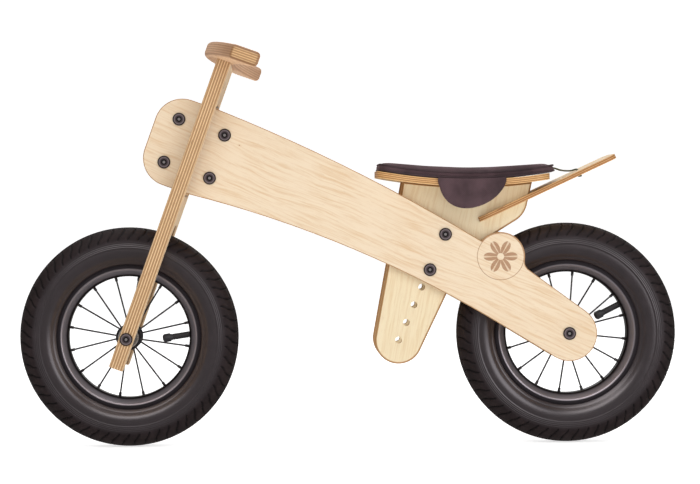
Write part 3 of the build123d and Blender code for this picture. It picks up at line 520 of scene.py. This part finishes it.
def woven(name, colour, thread, fleck, sheen=0.35):
    """Plain woven cloth: over and under threads on each side of the piece, with flecked yarn."""
    f = Finish(name, Sheen_Weight=sheen, Sheen_Roughness=0.45, Sheen_Tint=fleck)
    split = f.node("SeparateXYZ", (f.place,)).outputs
    slope = f.node("SeparateXYZ", (f.facing,)).outputs
    upright = f.ease(f.math("ABSOLUTE", slope[2]), 0.5, 0.8)
    second = f.node("Mix", data_type="FLOAT")
    for index, value in ((0, upright), (2, split[2]), (3, split[1])):
        f.fill(second.inputs[index], value)
    turns = math.pi / thread
    warp = f.math("SINE", f.math("MULTIPLY", split[0], turns))
    weft = f.math("SINE", f.math("MULTIPLY", second.outputs[0], turns))
    weave = f.math("MULTIPLY", warp, weft)
    yarn = f.noise(f.place, 900.0, 3, 0.65)
    cloud = f.noise(f.place, 26.0, 3, 0.6)
    tone = f.blend(f.ease(cloud, 0.3, 0.7), colour, fleck)
    tone = f.blend(f.ease(yarn, 0.55, 0.8, 0.0, 0.45), tone, fleck)
    tone = f.blend(f.ease(weave, -0.9, -0.1, 0.35, 0.0), tone, tuple(0.4 * c for c in colour))
    f.give("Base Color", tone)
    f.give("Roughness", f.ease(yarn, 0.2, 0.8, 0.82, 0.95))
    f.bump(f.math("ADD", f.math("MULTIPLY", weave, 0.6), yarn), 0.14 * MM, 0.55)
    return f.material


pad_cloth = woven("pad_cloth", shade(60, 42, 46), 1.3 * MM, shade(84, 62, 67), 1.0)
piping_cloth = woven("piping_cloth", shade(50, 35, 39), 0.9 * MM, shade(72, 54, 58), 1.0)
elastic = woven("strap_elastic", shade(66, 66, 52), 0.8 * MM, shade(120, 118, 98), 0.2)
bush_plastic = moulded("bush_plastic", shade(190, 160, 124), 0.5)
black_plastic = moulded("black_plastic", shade(44, 43, 46), 0.42)
black_rubber = moulded("black_rubber", shade(38, 36, 38), 0.6)


def paint(names, material):
    """Gives CAD nodes their finish."""
    for name in names.split():
        slots = nodes[name].data.materials
        slots.clear()
        slots.append(material)


paint("frame_panel_left frame_panel_right", panel_birch)
paint("seat_board_left seat_board_right", board_birch)
paint("head_block seat_cleats", inner_birch)
paint("fork_board", fork_birch)
paint("handlebar", handlebar_birch)
paint("seat_plate", plate_birch)
paint("mudguard", mudguard_birch)
paint("head_bolts head_sleeve_nuts seat_bolts seat_sleeve_nuts", panel_bolts)
paint("rear_axle_bolts front_axle_bolts", panel_bolts)
paint("handlebar_bolts", bolt_bronze)
paint("rear_axle front_axle rear_axle_spacers front_axle_spacers", zinc)
paint("seat_screws seat_spacer_tubes handlebar_barrel_nuts", zinc)
paint("steering_bolt steering_nut steering_washers", zinc)
paint("front_spokes rear_spokes front_nipples rear_nipples", spoke_wire)
paint("front_hub_shell rear_hub_shell", hub_black)
paint("front_hub_cups rear_hub_cups", hub_silver)
paint("front_bearings rear_bearings", bearing_steel)
paint("head_bushes", bush_plastic)
paint("front_inner_tube rear_inner_tube front_rim_tape rear_rim_tape", black_rubber)
paint("front_valve_stem rear_valve_stem", black_rubber)


# ---- Making pieces ----
def smooth_faces(mesh):
    """Shades every face of a mesh smoothly."""
    mesh.polygons.foreach_set("use_smooth", [True] * len(mesh.polygons))


def piece_from(bm, name, material):
    """A smooth object made from a finished bmesh, with its faces pointing outwards."""
    bmesh.ops.recalc_face_normals(bm, faces=bm.faces)
    mesh = bpy.data.meshes.new(name)
    bm.to_mesh(mesh)
    bm.free()
    smooth_faces(mesh)
    mesh.materials.append(material)
    made = bpy.data.objects.new(name, mesh)
    bpy.context.scene.collection.objects.link(made)
    return made


def applied(piece):
    """Turns a piece's modifiers into its mesh."""
    graph = bpy.context.evaluated_depsgraph_get()
    mesh = bpy.data.meshes.new_from_object(piece.evaluated_get(graph))
    piece.modifiers.clear()
    piece.data = mesh
    return piece


def closed_chain(bm, points):
    """A closed ring of edges through these points."""
    verts = [bm.verts.new(p) for p in points]
    edges = [bm.edges.new((a, b)) for a, b in zip(verts, verts[1:] + verts[:1])]
    return verts, edges


# ---- Tyres ----
LUGS = 60
STEPS_PER_LUG = 16
GROOVE_DEPTH = 2.6 * MM
GROOVE_FOOT, GROOVE_REACH = 136.5, 17.0  # radius in mm where a groove starts, and how far it goes
CENTRE_BAND = 3.5  # half the uncut middle of the tread, in mm
BLOCK_EDGE = 11.8  # half the width of the middle blocks, in mm


def tyre_section():
    """Half widths and radii, in mm, up one side of the tyre from the bead to the crown."""
    wall = [(17.0, 98.2), (17.3, 101.2), (18.2, 103.4), (20.0, 105.0), (20.6, 106.6), (21.4, 108.0)]
    wall += [(23.9, 110.6), (25.7, 113.8), (26.7, 117.2), (27.0, 120.6), (26.7, 124.2)]
    for rib in range(4):
        low = 126.2 + 2.35 * rib
        out = 26.40 - 0.10 * rib - 0.07 * rib**2
        wall += [(out, low), (out + 0.55, low + 0.7), (out + 0.45, low + 1.4)]
    wall += [(25.6, 136.2), (25.6, 137.2), (25.3, 138.6), (24.8, 140.4), (24.1, 142.4)]
    wall += [(23.2, 144.4), (22.0, 146.4), (20.5, 148.3), (18.6, 150.1), (16.3, 151.7)]
    wall += [(13.7, 153.1), (12.1, 153.8)]
    wall += [(11.4, 153.2), (10.6, 153.4), (9.8, 154.5), (7.6, 155.2), (5.2, 155.6), (3.2, 155.8)]
    wall += [(2.4, 155.0), (1.2, 155.0)]
    return wall


def groove_share(radius, half_width, angle):
    """How deep the tread is cut here, from 0 to 1, by grooves that lean across the shoulder."""
    up = (radius - GROOVE_FOOT) / GROOVE_REACH
    if up < 0.0 or half_width < CENTRE_BAND:
        return 0.0
    pitch = 2 * math.pi / LUGS
    lean = 0.66 * min(up, 1.15) - 0.08 * math.sin(2 * math.pi * min(up, 1.0))
    turn = (angle / pitch + lean) % 1.0
    near = min(turn, 1 - turn)
    share = max(0.0, min(1.0, (0.07 - near) / 0.04 + 0.3))
    fade = 0.55 if half_width < BLOCK_EDGE else 1.0
    return share * min(1.0, 0.35 + up * 5.0) * fade


def make_tyre(prefix, axle, body):
    """The tyre with its ribs, shoulder grooves and centre lines, in place of its plain CAD ring."""
    half = tyre_section()
    outer = [(y, r) for y, r in half] + [(0.0, 155.0)] + [(-y, r) for y, r in reversed(half)]
    inner = [(-12.4, 98.2), (-12.9, 104.0), (-20.2, 112.0), (-22.6, 125.0), (-22.0, 136.0)]
    inner += [(-17.5, 146.0), (-9.0, 150.0), (0.0, 150.6), (9.0, 150.0), (17.5, 146.0)]
    inner += [(22.0, 136.0), (22.6, 125.0), (20.2, 112.0), (12.9, 104.0), (12.4, 98.2)]
    bm = bmesh.new()
    section = [Vector((0, y * MM, r * MM)) for y, r in outer + inner]
    verts, edges = closed_chain(bm, section)
    bmesh.ops.spin(
        bm,
        geom=verts + edges,
        cent=(0, 0, 0),
        axis=(0, 1, 0),
        angle=2 * math.pi,
        steps=LUGS * STEPS_PER_LUG,
        use_merge=True,
    )
    # the groove share is kept on each vertex, where the tyre's finish turns it into painted shade
    cut = bm.verts.layers.float.new("cut")
    for vert in bm.verts:
        radius = math.hypot(vert.co.x, vert.co.z)
        width = abs(vert.co.y) / MM
        if radius < 0.1375 or (radius < 0.1512 and width < 18.0):
            continue
        angle = math.atan2(vert.co.z, vert.co.x)
        share = groove_share(radius / MM, width, angle)
        inward = Vector((vert.co.x / radius, 0, vert.co.z / radius)) * 0.75
        inward.y = 0.6 * vert.co.y / 0.0256
        vert.co -= inward * GROOVE_DEPTH * share
        vert[cut] = share
    bmesh.ops.translate(bm, verts=bm.verts, vec=axle)
    tyre = piece_from(bm, f"{prefix}_tyre_moulded", tyre_rubber(f"{prefix}_tyre_rubber", axle))
    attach(tyre, body)
    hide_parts(f"{prefix}_tyre")


def make_valve_cap(prefix, axle, angle, tilt, body):
    """The valve's cap, with grip ribs round it and a rounded end, pointing in from the rim."""
    ribs = 12
    widest = 5.6 * MM
    tip_reach = 24 * MM  # from the rim's bed
    bm = bmesh.new()
    bmesh.ops.create_circle(bm, segments=4 * ribs, radius=widest)
    ring, edges = list(bm.verts), list(bm.edges)
    layers = [(0.0, 0.62), (0.6, 0.78), (2.8, 0.8), (4.0, 1.0)]  # height in mm, share of widest
    layers += [(12.4, 1.0), (13.6, 0.9), (14.6, 0.66), (15.0, 0.4)]
    for number, (height, size) in enumerate(layers):
        if number:
            made = bmesh.ops.extrude_edge_only(bm, edges=edges)["geom"]
            ring = [v for v in made if isinstance(v, bmesh.types.BMVert)]
            edges = [e for e in made if isinstance(e, bmesh.types.BMEdge)]
        for vert in ring:
            turn = math.atan2(vert.co.y, vert.co.x)
            rib = 0.06 * max(-0.5, math.cos(turn * ribs)) if size == 1.0 else 0.0
            reach = widest * (size + rib)
            vert.co = Vector((math.cos(turn) * reach, math.sin(turn) * reach, -height * MM))
    bmesh.ops.holes_fill(bm, edges=bm.edges)
    bed = axle + Vector((math.cos(angle), 0, math.sin(angle))) * RIM_BED
    way = Vector((math.cos(angle + tilt), 0, math.sin(angle + tilt)))
    turn = way.to_track_quat("Z", "Y").to_matrix().to_4x4()
    placed = Matrix.Translation(bed - way * tip_reach) @ turn
    bmesh.ops.transform(bm, verts=bm.verts, matrix=placed)
    cap = piece_from(bm, f"{prefix}_valve_cap_ribbed", black_plastic)
    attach(cap, body)
    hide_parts(f"{prefix}_valve_cap")


for prefix, axle, valve_degrees, valve_tilt in (
    ("front", FRONT_AXLE, 1.55, 7.0),
    ("rear", REAR_AXLE, 26.65, 0.0),
):
    wheel_body = f"{prefix}_wheel"
    paint(f"{prefix}_rim", rim_paint_and_reflection(f"{prefix}_rim_paint_and_reflection", axle))
    make_tyre(prefix, axle, wheel_body)
    make_valve_cap(prefix, axle, math.radians(valve_degrees), math.radians(valve_tilt), wheel_body)


# ---- Seat pad ----
def hollow_z(x, radius):
    """Height at this X of an arc about the centre of the seat plate's hollow."""
    return DIP.z + PLATE_RADIUS - math.sqrt(radius**2 - (x - DIP.x) ** 2)


PLATE_TOP = PLATE_RADIUS - PLATE_THICKNESS
PAD_REST = PLATE_TOP - 0.5 * MM
PAD_FRONT, PAD_REAR = DIP.x - 0.136, DIP.x + 0.116
PAD_HALF = 0.067
PAD_MIDDLE_HEIGHT = 0.385
SWELL_LIMIT = 2.6 * MM


def make_pad():
    """The stuffed seat pad: the CAD solid blown up as cloth, resting on the plate's hollow."""
    bm = bmesh.new()
    bm.from_mesh(nodes["seat_pad"].data)
    bmesh.ops.remove_doubles(bm, verts=bm.verts, dist=0.01 * MM)
    middle = Vector(((PAD_FRONT + PAD_REAR) / 2, 0, PAD_MIDDLE_HEIGHT))
    for vert in bm.verts:
        away = vert.co - middle
        vert.co = middle + Vector((away.x, away.y * 0.975, away.z))
    pad = piece_from(bm, "seat_pad_stuffed", pad_cloth)
    remesh = pad.modifiers.new("even_mesh", "REMESH")
    remesh.mode = "VOXEL"
    remesh.voxel_size = 4 * MM
    remesh.use_smooth_shade = True
    applied(pad)
    before = [v.co.copy() for v in pad.data.vertices]
    cloth = pad.modifiers.new("swell", "CLOTH")
    cloth.settings.quality = 5
    cloth.settings.mass = 0.3
    cloth.settings.use_pressure = True
    cloth.settings.uniform_pressure_force = 4.0
    cloth.settings.effector_weights.gravity = 0.0
    cloth.point_cache.frame_end = 20
    for number in range(1, 21):
        bpy.context.scene.frame_set(number)
    applied(pad)
    for vert, start in zip(pad.data.vertices, before):
        step = vert.co - start
        if step.length > SWELL_LIMIT:
            step *= SWELL_LIMIT / step.length
        place = start + step
        edge_x = min(place.x - PAD_FRONT, PAD_REAR - place.x)
        edge_y = PAD_HALF - abs(place.y)
        crown = max(0.0, min(1.0, edge_y / 0.050)) * max(0.0, min(1.0, edge_x / 0.060))
        crown = math.sin(crown * math.pi / 2)
        floor_z = hollow_z(place.x, PAD_REST)
        share = max(0.0, min(1.0, (place.z - floor_z) / 0.012))
        crease = noise.noise(Vector((place.x * 26, place.y * 17, 3.0)))
        place.z += share * (0.6 * crown - 1.4 + 0.9 * crease * crown) * MM
        lift = max(0.0, 1.0 - (place.x - PAD_FRONT) / 0.022) ** 2
        place.z += 1.6 * MM * lift
        place.z = max(place.z, floor_z)
        vert.co = place
    smooth = pad.modifiers.new("even_out", "SMOOTH")
    smooth.factor = 0.6
    smooth.iterations = 2
    fine = pad.modifiers.new("fine_mesh", "SUBSURF")
    fine.levels = fine.render_levels = 1
    applied(pad)
    for vert in pad.data.vertices:
        vert.co.z = max(vert.co.z, hollow_z(vert.co.x, PAD_REST))
    smooth_faces(pad.data)
    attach(pad, "frame")
    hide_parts("seat_pad")


def pad_outline(inset, height):
    """Points round the pad's plan with rounded corners, at this height above the plate's hollow."""
    corner = 0.026
    spacing = 0.008
    half_x = (PAD_REAR - PAD_FRONT) / 2 - inset
    half_y = PAD_HALF - inset
    centre_x = (PAD_REAR + PAD_FRONT) / 2
    points = []
    for sign_x, sign_y, start in ((1, 1, 0), (-1, 1, 90), (-1, -1, 180), (1, -1, 270)):
        for step in range(9):
            angle = math.radians(start + 90 * step / 8)
            x = centre_x + sign_x * (half_x - corner) + corner * math.cos(angle)
            y = sign_y * (half_y - corner) + corner * math.sin(angle)
            points.append(Vector((x, y, 0)))
    dense = []
    for a, b in zip(points, points[1:] + points[:1]):
        parts = max(1, round((b - a).length / spacing))
        dense += [a.lerp(b, k / parts) for k in range(parts)]
    for point in dense:
        point.z = hollow_z(point.x, PAD_REST) + height
    return dense


def round_ring(points, radius, sides, name, material):
    """A round cord along a closed line of points, as a mesh."""
    curve = bpy.data.curves.new(name + "_line", "CURVE")
    curve.dimensions = "3D"
    spline = curve.splines.new("NURBS")
    spline.points.add(len(points) - 1)
    for place, point in zip(spline.points, points):
        place.co = (*point, 1)
    spline.order_u = 3
    spline.use_cyclic_u = True
    spline.resolution_u = 2
    curve.bevel_depth = radius
    curve.bevel_resolution = sides
    line = bpy.data.objects.new(name + "_line", curve)
    bpy.context.scene.collection.objects.link(line)
    graph = bpy.context.evaluated_depsgraph_get()
    mesh = bpy.data.meshes.new_from_object(line.evaluated_get(graph))
    bpy.data.objects.remove(line)
    bm = bmesh.new()
    bm.from_mesh(mesh)
    bmesh.ops.remove_doubles(bm, verts=bm.verts, dist=0.005 * MM)
    return piece_from(bm, name, material)


def make_piping():
    """Two cords sewn round the pad, one at its top edge and one at its foot."""
    for name, inset, height in (
        ("seat_piping_top", 4.0 * MM, 9.6 * MM),
        ("seat_piping_foot", 2.8 * MM, 2.0 * MM),
    ):
        cord = round_ring(pad_outline(inset, height), 1.5 * MM, 3, name, piping_cloth)
        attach(cord, "frame")


FLAP_HALF = 0.0470
FLAP_DROP = 0.0425
FLAP_X = DIP.x - 0.0045
FLAP_RISE = 1.0 * MM  # of its seam above the plate's hollow
FLAP_OUT = 0.0662  # of its seam from the middle plane
FLAP_INSIDE = 0.0654  # no part of it comes nearer to the middle plane


def make_flap(side, way):
    """A rounded flap that hangs from the pad's edge with soft folds."""
    bm = bmesh.new()
    bmesh.ops.create_grid(bm, x_segments=36, y_segments=18, size=1.0)
    top = hollow_z(FLAP_X, PAD_REST) + FLAP_RISE
    for vert in bm.verts:
        share = (1 - vert.co.y) / 2  # from the seam down to the hem
        part = math.sin(vert.co.x * math.pi / 2)
        deep = math.cos(vert.co.x * math.pi / 2) * (0.975 - 0.17 * part + 0.03 * part**2)
        x = FLAP_X + part * FLAP_HALF
        seam = hollow_z(x, PAD_REST) + FLAP_RISE
        z = seam + (top - FLAP_DROP * deep - seam) * share
        fold = math.sin(x * 190 + 2.0 * share) * 1.6 + math.sin(x * 95 - 1.3) * 2.2
        swell = 2.2 * math.sin(math.pi * min(1.0, share * 1.15))
        hang = (fold * share**0.8 + swell + 0.9) * MM
        vert.co = Vector((x, way * (FLAP_OUT + hang), z))
    flap = piece_from(bm, f"seat_flap_{side}_sewn", pad_cloth)
    thick = flap.modifiers.new("thickness", "SOLIDIFY")
    thick.thickness = 2.2 * MM
    thick.offset = 0.0
    fine = flap.modifiers.new("fine_mesh", "SUBSURF")
    fine.levels = fine.render_levels = 1
    applied(flap)
    for vert in flap.data.vertices:
        if way * vert.co.y < FLAP_INSIDE:
            vert.co.y = way * FLAP_INSIDE
    smooth_faces(flap.data)
    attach(flap, "frame")
    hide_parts(f"seat_flap_{side}")


def make_strap():
    """A flat elastic from the pad's rear edge to its slot in the mudguard, with a knot below."""
    slot_place = MUDGUARD_FRONT + MUDGUARD_ALONG * MUDGUARD_SLOT
    pad_foot = hollow_z(PAD_REAR, PAD_REST)
    route = [
        Vector((PAD_REAR - 0.006, 0, pad_foot + 6 * MM)),
        Vector((PAD_REAR + 0.003, 0, pad_foot + 5.5 * MM)),
        Vector((PAD_REAR + 0.012, 0, pad_foot + 1.8 * MM)),
        slot_place + MUDGUARD_UP * 9.0 * MM - MUDGUARD_ALONG * 9 * MM,
        slot_place + MUDGUARD_UP * 8.6 * MM,
        slot_place + MUDGUARD_UP * 4.0 * MM,
        slot_place - MUDGUARD_UP * 3.0 * MM,
    ]
    bm = bmesh.new()
    points = []
    for a, b in zip(route, route[1:]):
        points += [a.lerp(b, k / 4) for k in range(4)]
    points.append(route[-1])
    for _ in range(3):
        points = [points[0]] + [
            (a + 2 * b + c) / 4 for a, b, c in zip(points, points[1:], points[2:])
        ] + [points[-1]]
    columns = (-0.004, -0.0013, 0.0013, 0.004)
    rows = [[bm.verts.new(p + ACROSS * y) for y in columns] for p in points]
    for first, second in zip(rows, rows[1:]):
        for k in range(len(columns) - 1):
            bm.faces.new((first[k], first[k + 1], second[k + 1], second[k]))
    strap = piece_from(bm, "seat_strap_elastic", elastic)
    thick = strap.modifiers.new("thickness", "SOLIDIFY")
    thick.thickness = 2.4 * MM
    thick.offset = 0.0
    soft = strap.modifiers.new("soft_edges", "BEVEL")
    soft.width = 0.5 * MM
    soft.segments = 2
    applied(strap)
    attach(strap, "frame")
    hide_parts("elastic_strap")

    # the knot: a flattened ball with the turns of the elastic raised on it
    bm = bmesh.new()
    bmesh.ops.create_icosphere(bm, subdivisions=4, radius=3.2 * MM)
    for vert in bm.verts:
        turns = math.sin(vert.co.x * 1500 + vert.co.z * 900)
        turns += math.sin(vert.co.y * 1300 - vert.co.x * 700)
        vert.co *= 1 + 0.10 * turns
        vert.co.z *= 0.55
    bmesh.ops.translate(bm, verts=bm.verts, vec=slot_place - MUDGUARD_UP * 2.4 * MM)
    knot = piece_from(bm, "seat_strap_knot", elastic)
    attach(knot, "frame")


make_pad()
make_piping()
make_flap("left", -1)
make_flap("right", 1)
make_strap()


# ---- Floor, lights and camera ----
def make_floor():
    """A pale sweep that lies flat under the bike and curves up far behind it."""
    front, bend, radius, top, half_width = -9.0, 5.0, 3.0, 9.0, 12
    arc_steps = 12
    bm = bmesh.new()
    line = [Vector((0, front, 0)), Vector((0, bend, 0))]
    for step in range(1, arc_steps + 1):
        angle = math.radians(90 * step / arc_steps)
        line.append(
            Vector((0, bend + radius * math.sin(angle), radius - radius * math.cos(angle)))
        )
    line.append(Vector((0, bend + radius, top)))
    verts = [bm.verts.new(p + Vector((-half_width, 0, 0))) for p in line]
    edges = [bm.edges.new(pair) for pair in zip(verts, verts[1:])]
    made = bmesh.ops.extrude_edge_only(bm, edges=edges)["geom"]
    moved = [v for v in made if isinstance(v, bmesh.types.BMVert)]
    bmesh.ops.translate(bm, verts=moved, vec=(2 * half_width, 0, 0))
    f = Finish("pale_floor", Roughness=0.9)
    cloud = f.noise(f.place, 3.0, 3, 0.5)
    f.give("Base Color", f.blend(f.ease(cloud, 0.3, 0.7), (0.90, 0.90, 0.90), (0.93, 0.93, 0.93)))
    f.give("Emission Color", (1, 1, 1))
    f.give("Emission Strength", 0.62)
    floor = piece_from(bm, "floor_sweep", f.material)
    floor.data.transform(Matrix.Translation((0, 0, -0.3 * MM)))
    floor.visible_glossy = False


def softbox(name, place, target, size, power, colour=(1, 1, 1)):
    """A large soft light."""
    lamp = bpy.data.lights.new(name, "AREA")
    lamp.shape = "RECTANGLE"
    lamp.size, lamp.size_y = size
    lamp.energy = power
    lamp.color = colour
    made = bpy.data.objects.new(name, lamp)
    made.location = place
    made.rotation_euler = (Vector(target) - Vector(place)).to_track_quat("-Z", "Y").to_euler()
    bpy.context.scene.collection.objects.link(made)


make_floor()
softbox("key_light", (-0.7, -2.6, 2.8), (0, 0, 0.25), (3.2, 2.2), 48, (1.0, 0.985, 0.97))
softbox("fill_light", (2.4, -2.6, 1.2), (0, 0, 0.25), (2.4, 2.4), 34, (0.98, 0.985, 1.0))
softbox("top_light", (0.2, 0.3, 3.2), (0, 0, 0.2), (3.0, 2.4), 34)
softbox("back_light", (0.6, 3.2, 1.8), (0, 0, 0.3), (3.0, 1.6), 16)

world = bpy.data.worlds.new("studio")
world.use_nodes = True
world.node_tree.nodes["Background"].inputs["Color"].default_value = (1, 1, 1, 1)
world.node_tree.nodes["Background"].inputs["Strength"].default_value = 0.24
scene = bpy.context.scene
scene.world = world
scene.view_settings.view_transform = "Standard"

camera = bpy.data.cameras.new("camera")
camera.sensor_width = 36
camera.lens = 117.8
camera.shift_x = 0.1114
camera.shift_y = -0.0457
camera.clip_end = 60
viewer = bpy.data.objects.new("camera", camera)
viewer_place = (-0.1058, -3.27, 0.3342)
roll = Matrix.Rotation(math.radians(0.62), 4, "Y")
level_view = Matrix.Rotation(math.radians(90), 4, "X")
viewer.matrix_world = Matrix.Translation(viewer_place) @ roll @ level_view
scene.collection.objects.link(viewer)
scene.camera = viewer
